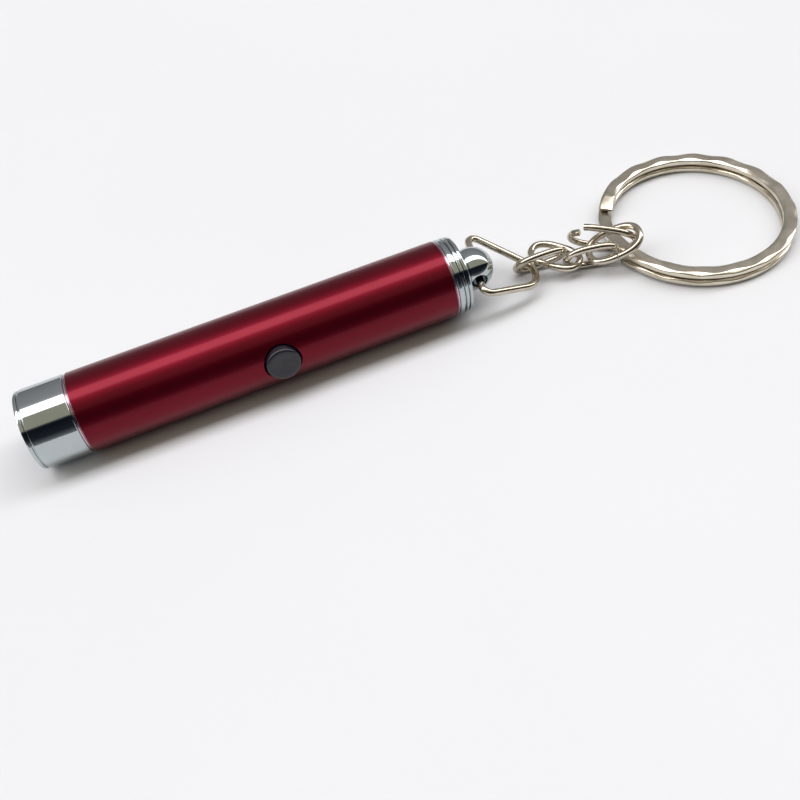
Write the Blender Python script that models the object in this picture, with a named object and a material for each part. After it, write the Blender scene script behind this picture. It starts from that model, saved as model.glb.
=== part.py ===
"""Keychain flashlight: a 14 mm barrel with a side button, a screw-in tail cap with a ball
eyelet, a short chain and a two-turn key ring.

The part lies on the plane z = 0. The barrel runs along X with its lens facing -X, and the
key ring lies flat at the +X end. The origin is the bottom centre of the whole part.
"""

import math

import bmesh
import bpy
from mathutils import Euler, Matrix, Vector

MM = 0.001

# ---- Driving dimensions, in millimetres ----
GAP = 0.3                       # running gap between neighbouring pieces
BARREL_RADIUS = 7.0
BARREL_BORE_RADIUS = 6.1
BARREL_SIDES = 32
INNER_SIDES = 24
SMALL_SIDES = 16
LEAD_SIDES = 8
UPRIGHT = (0.0, -math.pi / 2, 0.0)  # turns a shape made along X to point along +Z
BODY_LENGTH = 75.2              # front lip to the rear edge of the red barrel
HEAD_LENGTH = 8.45              # chromed head that shows in front of the barrel
HEAD_FACE = Vector((-72.0, 2.1, 7.0))

LENS_RADIUS = 4.8
LENS_START, LENS_END = 1.4, 2.6
WINDOW_RADIUS = 4.3
PLUG_RADIUS = BARREL_BORE_RADIUS - GAP
HEAD_PLUG_END = 13.5

LED_RADIUS = 2.5
LED_TOP = 3.3
LED_FLANGE_START, LED_FLANGE_END = 10.9, 11.9
LEAD_RADIUS = 0.25
LEAD_OFFSET = 1.27
LEAD_LENGTH = 6.0
SPOOL_LENGTH = 2.6

BUTTON_ANGLE = math.radians(80.0)   # from straight up, towards -Y
BUTTON_X = 42.9
BUTTON_RADIUS = 3.0
BUTTON_TRAVEL = 0.6
BOARD_TOP = -0.55
BOARD_THICKNESS = 1.0
BOARD_START, BOARD_END = 16.0, 47.0

CELL_RADIUS = 5.8
CELL_LENGTH = 5.4
CELLS_START = 53.3
CELL_COUNT = 3

CAP_START = BODY_LENGTH + 0.1
CAP_FACE = 78.0
CAP_PLUG_START = 70.8
CAP_FLOOR = CAP_START + 1.3         # bottom of the hollow that holds the spring
THREAD_PITCH = 0.9
BALL_X = 80.5
BALL_RADIUS = 3.9
EYE_RADIUS = 1.35               # bored along the triangle's wire
EYE_MOUTH = 0.3                 # how much wider the eye is at its mouths

TRIANGLE_WIRE = 1.35
TRIANGLE_TURN = math.radians(77.0)  # base of the triangle, from +X towards +Y
TRIANGLE_DROP = math.radians(20.7)
LINK_WIRE = 1.3
JUMP_WIRE = 1.25
TRIANGLE_PIVOT = Vector((9.4, 2.1, 6.7))

# Each link: name, length and width of its centre line, centre, then heading, climb and lean
# of its long axis in degrees.
CHAIN_LINKS = (
    ("chain_link_1", 9.2, 5.2, (22.1, 2.0, 3.1), -10, 9, 118),
    ("chain_link_2", 9.2, 5.2, (25.2, 2.0, 2.7), -50, -3, 2),
    ("chain_link_3", 9.2, 5.2, (30.7, -1.7, 3.2), -17, 5, 105),
    ("chain_link_4", 9.6, 6.0, (34.9, -2.3, 4.8), -19, 23, 12),
)
JUMP_RING = ("jump_ring", 12.0, 6.6, (34.5, 0.8, 3.9), -29.5, -9, -65)
JUMP_RING_FIRST_TURN = 232.0    # degrees round the oval from its far end, where the wire starts
JUMP_RING_LAST_TURN = 582.0
JUMP_RING_SPREAD = 1.0          # how far the two cut ends are sprung apart
LINK_FULLNESS = 0.8             # 1 is an ellipse; less gives fuller sides

RING_CENTRE = Vector((53.85, 0.0, 1.75))
RING_TILT = math.radians(0.76)  # the chain props up the near side
RING_OUTER_RADIUS = 18.05
RING_BAND = 2.6
RING_COIL = 1.35
RING_JOG_CENTRE = math.radians(168.0)
RING_JOG_HALF = math.radians(20.0)
RING_END_HALF = math.radians(22.0)
RING_BEVEL = 0.3


# ---- Materials ----
def make_material(name, colour, roughness, metallic):
    """A Principled material with one colour."""
    material = bpy.data.materials.new(name)
    material.use_nodes = True
    shader = material.node_tree.nodes["Principled BSDF"]
    shader.inputs["Base Color"].default_value = (*colour, 1.0)
    shader.inputs["Roughness"].default_value = roughness
    shader.inputs["Metallic"].default_value = metallic
    return material


def make_materials():
    """Every finish on the flashlight, by name."""
    finishes = {
        "red_anodised": ((0.30, 0.008, 0.03), 0.22, 1.0),
        "chrome": ((0.85, 0.86, 0.88), 0.06, 1.0),
        "nickel": ((0.72, 0.69, 0.60), 0.18, 1.0),
        "brass": ((0.75, 0.58, 0.28), 0.30, 1.0),
        "steel": ((0.60, 0.60, 0.60), 0.30, 1.0),
        "clear_plastic": ((0.90, 0.93, 0.95), 0.05, 0.0),
        "black_plastic": ((0.01, 0.01, 0.014), 0.25, 0.0),
        "white_plastic": ((0.75, 0.75, 0.72), 0.45, 0.0),
        "board_green": ((0.02, 0.16, 0.06), 0.40, 0.0),
    }
    return {name: make_material(name, *values) for name, values in finishes.items()}


# ---- Shared helpers ----
def clear_scene():
    """Remove every object that the starting scene holds."""
    for old in list(bpy.data.objects):
        bpy.data.objects.remove(old, do_unlink=True)


def add_empty(name, location, rotation=(0.0, 0.0, 0.0)):
    """An empty that carries pieces which share a frame; location in millimetres."""
    empty = bpy.data.objects.new(name, None)
    empty.location = Vector(location) * MM
    empty.rotation_euler = rotation
    bpy.context.scene.collection.objects.link(empty)
    return empty


def add_object(name, data, material, parent=None, location=(0.0, 0.0, 0.0)):
    """Link a mesh or curve to the scene with its material, frame and place."""
    piece = bpy.data.objects.new(name, data)
    data.materials.append(material)
    bpy.context.scene.collection.objects.link(piece)
    piece.parent = parent
    piece.location = Vector(location) * MM
    return piece


def finish_mesh(bm, name, smooth_angle=32.0):
    """Weld, orient and smooth a bmesh, and return it as a mesh."""
    bmesh.ops.remove_doubles(bm, verts=bm.verts, dist=0.001 * MM)
    bmesh.ops.recalc_face_normals(bm, faces=bm.faces)
    mesh = bpy.data.meshes.new(name)
    bm.to_mesh(mesh)
    bm.free()
    mesh.shade_smooth()
    mesh.set_sharp_from_angle(angle=math.radians(smooth_angle))
    return mesh


def turned_mesh(name, profile, sides, closed=False):
    """Turn (x, radius) points in millimetres about X, with one flat side facing down.

    A closed profile makes a tube; an open one starts and ends on the axis.
    """
    bm = bmesh.new()
    start = -math.pi / 2 + math.pi / sides
    verts = [
        bm.verts.new((x * MM, r * MM * math.cos(start), r * MM * math.sin(start)))
        for x, r in profile
    ]
    edges = [bm.edges.new(pair) for pair in zip(verts, verts[1:])]
    if closed:
        edges.append(bm.edges.new((verts[-1], verts[0])))
    bmesh.ops.spin(
        bm,
        geom=verts + edges,
        cent=(0.0, 0.0, 0.0),
        axis=(1.0, 0.0, 0.0),
        angle=math.tau,
        steps=sides,
        use_merge=True,
    )
    return finish_mesh(bm, name)


def rod_profile(radius, length):
    """Profile of a plain rod that starts at x = 0."""
    return [(0.0, 0.0), (0.0, radius), (length, radius), (length, 0.0)]


def box_mesh(name, low, high):
    """A box between two corners in millimetres."""
    bm = bmesh.new()
    bmesh.ops.create_cube(bm, size=1.0)
    size = Vector(high) - Vector(low)
    centre = (Vector(high) + Vector(low)) / 2
    place = Matrix.Translation(centre * MM) @ Matrix.Diagonal((*(size * MM), 1.0))
    bmesh.ops.transform(bm, matrix=place, verts=bm.verts)
    return finish_mesh(bm, name)


def extruded_mesh(name, outline, start, end):
    """Extrude a (y, z) outline in millimetres along X."""
    bm = bmesh.new()
    verts = [bm.verts.new((start * MM, y * MM, z * MM)) for y, z in outline]
    face = bm.faces.new(verts)
    grown = bmesh.ops.extrude_face_region(bm, geom=[face])
    moved = [item for item in grown["geom"] if isinstance(item, bmesh.types.BMVert)]
    bmesh.ops.translate(bm, verts=moved, vec=((end - start) * MM, 0.0, 0.0))
    return finish_mesh(bm, name)


def cut(piece, cutter_mesh, parent, location, rotation=(0.0, 0.0, 0.0)):
    """Cut a piece with a hidden tool body."""
    cutter_name = cutter_mesh.name
    cutter = bpy.data.objects.new(cutter_name, cutter_mesh)
    bpy.context.scene.collection.objects.link(cutter)
    cutter.parent = parent
    cutter.location = Vector(location) * MM
    cutter.rotation_euler = rotation
    cutter.hide_render = True
    cutter.display_type = "WIRE"
    modifier = piece.modifiers.new(cutter_name, "BOOLEAN")
    modifier.operation = "DIFFERENCE"
    modifier.solver = "EXACT"
    modifier.object = cutter


def wire_curve(name, points, diameter, closed=False):
    """A round wire through points in millimetres."""
    curve = bpy.data.curves.new(name, "CURVE")
    curve.dimensions = "3D"
    curve.bevel_depth = diameter / 2 * MM
    curve.bevel_resolution = 2
    curve.use_fill_caps = not closed
    spline = curve.splines.new("POLY")
    spline.points.add(len(points) - 1)
    for spot, point in zip(spline.points, points):
        spot.co = (*(Vector(point) * MM), 1.0)
    spline.use_cyclic_u = closed
    spline.use_smooth = True
    return curve


# ---- Barrel, head and lens ----
def build_barrel(axis, switch, materials):
    """The red tube, open at both ends, with the button's hole in its side."""
    start = HEAD_LENGTH + GAP / 2
    length = BODY_LENGTH - GAP / 2 - start
    outer, bore, chamfer = BARREL_RADIUS, BARREL_BORE_RADIUS, 0.2
    profile = [
        (0.0, bore),
        (0.0, outer - chamfer),
        (chamfer, outer),
        (length - chamfer, outer),
        (length, outer - chamfer),
        (length, bore),
    ]
    mesh = turned_mesh("body_tube", profile, BARREL_SIDES, closed=True)
    tube = add_object("body_tube", mesh, materials["red_anodised"], axis, (start, 0.0, 0.0))
    tool = turned_mesh("button_hole_tool", rod_profile(BUTTON_RADIUS + GAP, 6.0), INNER_SIDES)
    cut(tube, tool, switch, (BUTTON_X, 0.0, 3.0), UPRIGHT)


def build_head(axis, materials):
    """The chromed head: a rounded lip, a window for the lens and a plug inside the barrel."""
    lip = 0.9
    shoulder = HEAD_LENGTH - GAP / 2
    lens_bore = LENS_RADIUS + GAP
    lip_arc = [
        (lip - lip * math.sin(turn), BARREL_RADIUS - lip + lip * math.cos(turn))
        for turn in (math.radians(step * 22.5) for step in range(4, -1, -1))
    ]
    profile = [(0.0, WINDOW_RADIUS + 0.4)]
    profile += lip_arc
    profile += [
        (shoulder, BARREL_RADIUS),
        (shoulder, PLUG_RADIUS),
        (HEAD_PLUG_END, PLUG_RADIUS),
        (HEAD_PLUG_END, lens_bore),
        (LENS_START - GAP, lens_bore),
        (LENS_START - GAP, WINDOW_RADIUS),
        (0.4, WINDOW_RADIUS),
    ]
    mesh = turned_mesh("head_bezel", profile, BARREL_SIDES, closed=True)
    add_object("head_bezel", mesh, materials["chrome"], axis)

    mesh = turned_mesh("lens", rod_profile(LENS_RADIUS, LENS_END - LENS_START), INNER_SIDES)
    add_object("lens", mesh, materials["clear_plastic"], axis, (LENS_START, 0.0, 0.0))


def build_lamp(axis, materials):
    """Reflector cup, light-emitting diode, its two leads and the spool behind it."""
    reflector_start = LENS_END + GAP
    reflector_end = LED_FLANGE_START - GAP
    depth = reflector_end - reflector_start
    throat = LED_RADIUS + GAP
    mouth = LENS_RADIUS - 0.4
    bowl = [
        (depth * (1 - step / 6), throat + (mouth - throat) * math.sqrt(step / 6))
        for step in range(7)
    ]
    profile = [(0.0, LENS_RADIUS), (depth, LENS_RADIUS)] + bowl
    mesh = turned_mesh("reflector", profile, INNER_SIDES, closed=True)
    add_object("reflector", mesh, materials["chrome"], axis, (reflector_start, 0.0, 0.0))

    dome = [
        (LED_RADIUS - LED_RADIUS * math.cos(turn), LED_RADIUS * math.sin(turn))
        for turn in (math.radians(step * 18.0) for step in range(6))
    ]
    flange_start = LED_FLANGE_START - LED_TOP
    flange_end = LED_FLANGE_END - LED_TOP
    profile = dome + [
        (flange_start, LED_RADIUS),
        (flange_start, LED_RADIUS + 0.4),
        (flange_end, LED_RADIUS + 0.4),
        (flange_end, 0.0),
    ]
    mesh = turned_mesh("led", profile, INNER_SIDES)
    add_object("led", mesh, materials["clear_plastic"], axis, (LED_TOP, 0.0, 0.0))

    spool_start = LED_FLANGE_END + GAP
    mesh = turned_mesh("led_holder", rod_profile(LENS_RADIUS, SPOOL_LENGTH), INNER_SIDES)
    return add_object("led_holder", mesh, materials["white_plastic"], axis, (spool_start, 0.0, 0.0))


def build_leads(spool, switch, materials):
    """The lamp's two leads, which pass through the spool and lie over the board's front end."""
    lead_start = LED_FLANGE_END + GAP
    overrun = 1.0
    for name, side in (("led_lead_positive", 1.0), ("led_lead_negative", -1.0)):
        offset = side * LEAD_OFFSET
        mesh = turned_mesh(name, rod_profile(LEAD_RADIUS, LEAD_LENGTH), LEAD_SIDES)
        add_object(name, mesh, materials["steel"], switch, (lead_start, offset, 0.0))
        profile = rod_profile(LEAD_RADIUS + GAP, SPOOL_LENGTH + 2 * overrun)
        tool = turned_mesh(name + "_tool", profile, SMALL_SIDES)
        cut(spool, tool, switch, (lead_start - overrun, offset, 0.0))


# ---- Board, switch and button, in the button's own frame (+Z out through the button) ----
def build_board(switch, materials):
    """Circuit board, resistor and the half-round cradle that backs the board."""
    bottom = BOARD_TOP - BOARD_THICKNESS
    half_width = 4.9
    mesh = box_mesh("circuit_board", (BOARD_START, -half_width, bottom), (BOARD_END, half_width, BOARD_TOP))
    add_object("circuit_board", mesh, materials["board_green"], switch)

    base = BOARD_TOP + GAP
    resistor_start, resistor_length, resistor_half_width, resistor_height = 25.0, 3.2, 0.8, 0.6
    low = (resistor_start, -resistor_half_width, base)
    high = (resistor_start + resistor_length, resistor_half_width, base + resistor_height)
    mesh = box_mesh("resistor", low, high)
    add_object("resistor", mesh, materials["black_plastic"], switch)

    outer, inner = PLUG_RADIUS, PLUG_RADIUS - 1.1
    tilt = math.asin(-(bottom - GAP) / outer)
    steps = 12
    angles = [-tilt - (math.pi - 2 * tilt) * step / steps for step in range(steps + 1)]
    outline = [(outer * math.cos(a), outer * math.sin(a)) for a in angles]
    inner_tilt = math.asin(-(bottom - GAP) / inner)
    inner_angles = [
        -inner_tilt - (math.pi - 2 * inner_tilt) * step / steps for step in range(steps, -1, -1)
    ]
    outline += [(inner * math.cos(a), inner * math.sin(a)) for a in inner_angles]
    mesh = extruded_mesh("board_cradle", outline, BOARD_START + 1.0, BOARD_END - 0.5)
    add_object("board_cradle", mesh, materials["black_plastic"], switch)


def build_button(switch, materials):
    """Tactile switch under the board's button position, its plunger and the outer button."""
    body_base = BOARD_TOP + GAP
    body_height = 2.8
    well_depth = 1.9
    plunger_radius, plunger_length = 1.3, 2.0
    half_body = 3.0
    mesh = box_mesh("switch_body", (-half_body, -half_body, 0.0), (half_body, half_body, body_height))
    body = add_object("switch_body", mesh, materials["black_plastic"], switch, (BUTTON_X, 0.0, body_base))
    profile = rod_profile(plunger_radius + GAP, well_depth + 1.0)
    tool = turned_mesh("switch_well_tool", profile, SMALL_SIDES)
    well_floor = body_base + body_height - well_depth
    cut(body, tool, switch, (BUTTON_X, 0.0, well_floor), UPRIGHT)

    plunger_base = well_floor + BUTTON_TRAVEL + GAP
    mesh = turned_mesh("switch_plunger", rod_profile(plunger_radius, plunger_length), SMALL_SIDES)
    plunger = add_object(
        "switch_plunger", mesh, materials["white_plastic"], switch, (BUTTON_X, 0.0, plunger_base)
    )
    plunger.rotation_euler = UPRIGHT

    button_base = plunger_base + plunger_length + GAP
    flange_height, flange_width = 0.55, 0.6
    shaft_top = BARREL_RADIUS + 0.35 - button_base
    dome_height = 0.45
    dome = [
        (shaft_top + dome_height * math.sin(turn), BUTTON_RADIUS * math.cos(turn))
        for turn in (math.radians(step * 18.0) for step in range(1, 6))
    ]
    profile = [
        (0.0, 0.0),
        (0.0, BUTTON_RADIUS + flange_width),
        (flange_height, BUTTON_RADIUS + flange_width),
        (flange_height, BUTTON_RADIUS),
        (shaft_top, BUTTON_RADIUS),
    ] + dome
    mesh = turned_mesh("push_button", profile, INNER_SIDES)
    button = add_object(
        "push_button", mesh, materials["black_plastic"], switch, (BUTTON_X, 0.0, button_base)
    )
    button.rotation_euler = UPRIGHT


# ---- Contacts and cells ----
def coil_points(start, end, start_radius, end_radius, turns):
    """Points along a conical coil about X."""
    count = turns * 12
    points = []
    for step in range(count + 1):
        share = step / count
        radius = start_radius + (end_radius - start_radius) * share
        turn = math.tau * turns * share
        points.append((start + (end - start) * share, radius * math.cos(turn), radius * math.sin(turn)))
    return points


def build_power(axis, materials):
    """Front contact, three button cells and the conical spring in the tail cap."""
    disc_start = BOARD_END + GAP
    disc_radius, disc_thickness = 5.5, 0.5
    mesh = turned_mesh("contact_disc", rod_profile(disc_radius, disc_thickness), INNER_SIDES)
    add_object("contact_disc", mesh, materials["brass"], axis, (disc_start, 0.0, 0.0))

    spring_wire = 0.5
    inset = GAP + spring_wire / 2
    first = disc_start + disc_thickness + inset
    last = CELLS_START - inset
    curve = wire_curve("contact_spring", coil_points(first, last, 3.6, 2.2, 3), spring_wire)
    add_object("contact_spring", curve, materials["steel"], axis)

    lip = 0.35
    for number in range(CELL_COUNT):
        name = f"battery_cell_{number + 1}"
        profile = [
            (0.0, 0.0),
            (0.0, CELL_RADIUS - 0.9),
            (lip, CELL_RADIUS - lip),
            (lip * 2, CELL_RADIUS),
            (CELL_LENGTH - lip, CELL_RADIUS),
            (CELL_LENGTH, CELL_RADIUS - lip),
            (CELL_LENGTH, 0.0),
        ]
        mesh = turned_mesh(name, profile, INNER_SIDES)
        start = CELLS_START + number * (CELL_LENGTH + GAP)
        add_object(name, mesh, materials["steel"], axis, (start, 0.0, 0.0))

    cells_end = CELLS_START + CELL_COUNT * (CELL_LENGTH + GAP) - GAP
    first = cells_end + inset
    last = CAP_FLOOR - inset
    curve = wire_curve("tail_spring", coil_points(first, last, 2.0, 3.4, 3), spring_wire)
    add_object("tail_spring", curve, materials["steel"], axis)


# ---- Tail cap ----
def build_tail_cap(axis, materials):
    """Screw-in cap: hollow ridged plug, three turned bands, end face and ball eyelet."""
    bore = 4.2
    root = PLUG_RADIUS - 0.35
    ridges = []
    for number in range(4):
        ridge = CAP_PLUG_START + 0.3 + number * THREAD_PITCH
        ridges += [
            (ridge, root),
            (ridge + 0.3, PLUG_RADIUS),
            (ridge + 0.5, PLUG_RADIUS),
            (ridge + 0.8, root),
        ]
    face = CAP_START + 0.05
    bands = [
        (face, root),
        (face, 6.8),
        (face + 0.2, 7.0),
        (face + 0.85, 7.0),
        (face + 0.95, 6.7),
        (face + 1.1, 6.7),
        (face + 1.2, 6.95),
        (face + 1.6, 6.95),
        (face + 1.7, 6.6),
        (face + 1.85, 6.6),
        (face + 1.95, 6.85),
        (CAP_FACE - 0.3, 6.85),
        (CAP_FACE - 0.1, 6.7),
        (CAP_FACE, 6.4),
    ]
    first_turn = math.acos((BALL_X - CAP_FACE - 0.3) / BALL_RADIUS)
    steps = 10
    ball = []
    for step in range(steps + 1):
        turn = first_turn + (math.pi - first_turn) * step / steps
        ball.append((BALL_X - BALL_RADIUS * math.cos(turn), BALL_RADIUS * math.sin(turn)))
    ball[-1] = (BALL_X + BALL_RADIUS, 0.0)
    hollow = [(CAP_FLOOR, 0.0), (CAP_FLOOR, bore), (CAP_PLUG_START, bore), (CAP_PLUG_START, root)]
    neck = [(CAP_FACE, 3.4)]
    profile = hollow + ridges + bands + neck + ball
    mesh = turned_mesh("tail_cap", profile, BARREL_SIDES)
    cap = add_object("tail_cap", mesh, materials["chrome"], axis)
    mouth = EYE_RADIUS + EYE_MOUTH
    half_eye = [(2.9, EYE_RADIUS), (3.8, mouth), (5.0, mouth), (5.0, 0.0)]
    eye = [(-x, radius) for x, radius in reversed(half_eye)] + half_eye
    tool = turned_mesh("eye_tool", eye, SMALL_SIDES)
    cut(cap, tool, axis, TRIANGLE_PIVOT - HEAD_FACE, (0.0, 0.0, TRIANGLE_TURN))


# ---- Chain ----
def rounded_corner(before, corner, after, radius, steps=5):
    """Points along an arc that rounds one corner of a bent wire."""
    to_before = (before - corner).normalized()
    to_after = (after - corner).normalized()
    half = to_before.angle(to_after) / 2
    middle = (to_before + to_after).normalized()
    centre = corner + middle * (radius / math.sin(half))
    first = corner + to_before * (radius / math.tan(half)) - centre
    last = corner + to_after * (radius / math.tan(half)) - centre
    sweep = math.pi - 2 * half
    points = []
    for step in range(steps + 1):
        share = step / steps
        weight_first = math.sin((1 - share) * sweep) / math.sin(sweep)
        weight_last = math.sin(share * sweep) / math.sin(sweep)
        points.append(centre + first * weight_first + last * weight_last)
    return points


def build_triangle(materials):
    """Three-cornered wire through the ball's eye; its two ends meet inside the eye."""
    pivot = add_empty("triangle_pivot", TRIANGLE_PIVOT, (0.0, 0.0, TRIANGLE_TURN))
    far = Vector((9.8, 0.0, 0.0))
    near = Vector((-6.95, 0.0, 0.0))
    out = Vector((0.0, -math.cos(TRIANGLE_DROP), -math.sin(TRIANGLE_DROP)))
    tip = Vector((-1.3, 0.0, 0.0)) + out * 16.9
    half_cut = Vector((GAP / 2, 0.0, 0.0))
    points = [half_cut]
    points += rounded_corner(half_cut, far, tip, 1.5)
    points += rounded_corner(far, tip, near, 4.2, 8)
    points += rounded_corner(tip, near, -half_cut, 1.5)
    points += [-half_cut]
    curve = wire_curve("triangle_link", points, TRIANGLE_WIRE)
    add_object("triangle_link", curve, materials["nickel"], pivot)


def oval_points(length, width, turns, spread=0.0):
    """Centre line of an oval link with full sides, at the given turns in degrees.

    It lies in its own XY plane, and the spread springs its first and last points apart.
    """
    middle = (turns[0] + turns[-1]) / 2
    half = (turns[-1] - turns[0]) / 2
    points = []
    for turn in turns:
        along, across = math.cos(math.radians(turn)), math.sin(math.radians(turn))
        x = math.copysign(abs(along) ** LINK_FULLNESS, along) * length / 2
        y = math.copysign(abs(across) ** LINK_FULLNESS, across) * width / 2
        share = (turn - middle) / half
        points.append((x, y, -math.copysign(share * share, share) * spread / 2))
    return points


def place_link(curve, materials, centre, heading, climb, lean):
    """Lay a link's wire at its place on the table."""
    link = add_object(curve.name, curve, materials["nickel"], None, centre)
    link.rotation_euler = Euler([math.radians(value) for value in (lean, -climb, heading)])


def build_links(materials):
    """The closed chain links and the open jump ring, each turned to where it lies."""
    steps = 28
    turns = [360.0 * step / steps for step in range(steps)]
    for name, length, width, *place in CHAIN_LINKS:
        curve = wire_curve(name, oval_points(length, width, turns), LINK_WIRE, closed=True)
        place_link(curve, materials, *place)
    name, length, width, *place = JUMP_RING
    steps = 32
    sweep = JUMP_RING_LAST_TURN - JUMP_RING_FIRST_TURN
    turns = [JUMP_RING_FIRST_TURN + sweep * step / (steps - 1) for step in range(steps)]
    curve = wire_curve(name, oval_points(length, width, turns, JUMP_RING_SPREAD), JUMP_WIRE)
    place_link(curve, materials, *place)


# ---- Key ring ----
def coil_height(turn):
    """Height of the wound strip above the ring's middle plane, in millimetres, at one angle.

    The strip lies in the lower layer, climbs once through the jog and goes on in the upper layer.
    """
    level = (RING_COIL + GAP) / 2
    share = (turn - (RING_JOG_CENTRE + math.tau) + RING_JOG_HALF) / (2 * RING_JOG_HALF)
    share = min(max(share, 0.0), 1.0)
    return level * (2 * share * share * (3 - 2 * share) - 1)


def build_split_ring(materials):
    """A flat strip wound almost twice round, with its two ends beside the jog."""
    first = RING_JOG_CENTRE + RING_END_HALF
    last = RING_JOG_CENTRE - RING_END_HALF + 2 * math.tau
    steps = 76
    half_band, half_coil = RING_BAND / 2, RING_COIL / 2
    band_flat, coil_flat = half_band - RING_BEVEL, half_coil - RING_BEVEL
    section = [
        (-half_band, -coil_flat),
        (-band_flat, -half_coil),
        (band_flat, -half_coil),
        (half_band, -coil_flat),
        (half_band, coil_flat),
        (band_flat, half_coil),
        (-band_flat, half_coil),
        (-half_band, coil_flat),
    ]
    middle = RING_OUTER_RADIUS - half_band
    bm = bmesh.new()
    loops = []
    for step in range(steps + 1):
        turn = first + (last - first) * step / steps
        height = coil_height(turn)
        loop = [
            bm.verts.new(
                (
                    (middle + out) * math.cos(turn) * MM,
                    (middle + out) * math.sin(turn) * MM,
                    (height + up) * MM,
                )
            )
            for out, up in section
        ]
        loops.append(loop)
    for one, two in zip(loops, loops[1:]):
        for index in range(len(section)):
            after = (index + 1) % len(section)
            bm.faces.new((one[index], one[after], two[after], two[index]))
    bm.faces.new(loops[0])
    bm.faces.new(loops[-1])
    mesh = finish_mesh(bm, "split_ring")
    ring = add_object("split_ring", mesh, materials["nickel"], None, RING_CENTRE)
    ring.rotation_euler = (0.0, RING_TILT, 0.0)


# ---- Whole part ----
def build():
    """Build every piece of the flashlight."""
    clear_scene()
    materials = make_materials()
    axis = add_empty("barrel_axis", HEAD_FACE)
    switch = add_empty("switch_axis", HEAD_FACE, (BUTTON_ANGLE, 0.0, 0.0))
    build_barrel(axis, switch, materials)
    build_head(axis, materials)
    spool = build_lamp(axis, materials)
    build_leads(spool, switch, materials)
    build_board(switch, materials)
    build_button(switch, materials)
    build_power(axis, materials)
    build_tail_cap(axis, materials)
    build_triangle(materials)
    build_links(materials)
    build_split_ring(materials)


build()
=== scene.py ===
"""Looks of the keychain flashlight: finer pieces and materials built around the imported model.

Lengths are in millimetres, as in the part's own drawing, and turned into metres where a mesh
is made. The barrel's pieces are drawn in a frame whose origin is the middle of the head's front
face, with +X running back along the barrel.
"""

import math

import bmesh
import bpy
from mathutils import Euler, Matrix, Vector


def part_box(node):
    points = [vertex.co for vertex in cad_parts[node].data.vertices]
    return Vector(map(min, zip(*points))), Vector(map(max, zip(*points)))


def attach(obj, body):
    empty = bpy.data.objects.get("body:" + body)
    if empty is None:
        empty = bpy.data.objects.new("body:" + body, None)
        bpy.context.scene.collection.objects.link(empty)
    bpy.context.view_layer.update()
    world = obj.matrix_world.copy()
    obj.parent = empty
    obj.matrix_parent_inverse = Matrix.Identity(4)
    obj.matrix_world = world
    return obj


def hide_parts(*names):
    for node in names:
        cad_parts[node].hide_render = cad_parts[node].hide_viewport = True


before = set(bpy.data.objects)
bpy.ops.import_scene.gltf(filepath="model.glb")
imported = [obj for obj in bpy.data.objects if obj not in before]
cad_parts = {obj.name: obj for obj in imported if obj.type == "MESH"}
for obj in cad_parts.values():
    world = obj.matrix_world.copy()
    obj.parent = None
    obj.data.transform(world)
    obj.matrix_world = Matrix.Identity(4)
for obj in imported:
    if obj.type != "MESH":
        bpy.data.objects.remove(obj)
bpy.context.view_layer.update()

MM = 0.001

# ---- Barrel sizes ----
GAP = 0.3                         # running gap between neighbouring pieces
BARREL_RADIUS = 7.0
BARREL_BORE_RADIUS = 6.1
BODY_LENGTH = 75.2                # head and tube together
HEAD_LENGTH = 8.45
TUBE_START = HEAD_LENGTH + GAP / 2
TUBE_END = BODY_LENGTH - GAP / 2
EDGE_CHAMFER = 0.22

LENS_RADIUS = 4.8
LENS_START, LENS_END = 1.4, 2.6
WINDOW_RADIUS = 4.3
PLUG_RADIUS = BARREL_BORE_RADIUS - GAP
HEAD_PLUG_END = 13.5
LED_RADIUS = 2.5
LED_TOP = 3.3
LED_FLANGE_START, LED_FLANGE_END = 10.9, 11.9
CHIP_START, CHIP_END = 7.0, 7.25
POST_START, POST_END = 7.3, 10.6

BUTTON_ANGLE = math.radians(80.0)  # from straight up, towards -Y
BUTTON_X = 42.9
BUTTON_RADIUS = 3.0
BUTTON_BASE, BUTTON_TOP = 3.85, 7.8  # heights above the barrel's axis

CAP_START = BODY_LENGTH + 0.1
CAP_FACE = 78.0
CAP_PLUG_START = 70.8
CAP_FLOOR = CAP_START + 1.3
CAP_BORE_RADIUS = 4.2
THREAD_PITCH = 0.9
THREAD_ROOT = PLUG_RADIUS - 0.35
THREAD_RIDGES = 4
BALL_X = 80.5
BALL_RADIUS = 3.9
EYE_RADIUS = 1.35
EYE_MOUTH = 0.3                   # how much wider the eye is at its mouths

# ---- Chain sizes ----
TRIANGLE_WIRE = 1.35
TRIANGLE_PIVOT = Vector((9.4, 2.1, 6.7))
TRIANGLE_TURN = math.radians(77.0)
TRIANGLE_DROP = math.radians(20.7)
TRIANGLE_FAR, TRIANGLE_NEAR = 9.8, -6.95  # corners of its base, measured from the pivot
TRIANGLE_HEIGHT = 16.9            # from its base to its tip
TRIANGLE_LEAN = -1.3              # how far along its base the tip sits
BASE_BEND, TIP_BEND = 1.5, 4.2    # bend radii of its corners
LINK_WIRE = 1.3
LINK_FULLNESS = 0.8               # 1 is an ellipse, and less is squarer
LINK_SEAM = 0.25                  # degrees of turn left open where a link's wire closes
LINK_LIP, JUMP_LIP = 0.03, 0.12   # rounding of a wire's cut ends
JUMP_WIRE = 1.25
JUMP_RING_SPREAD = 1.0

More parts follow.
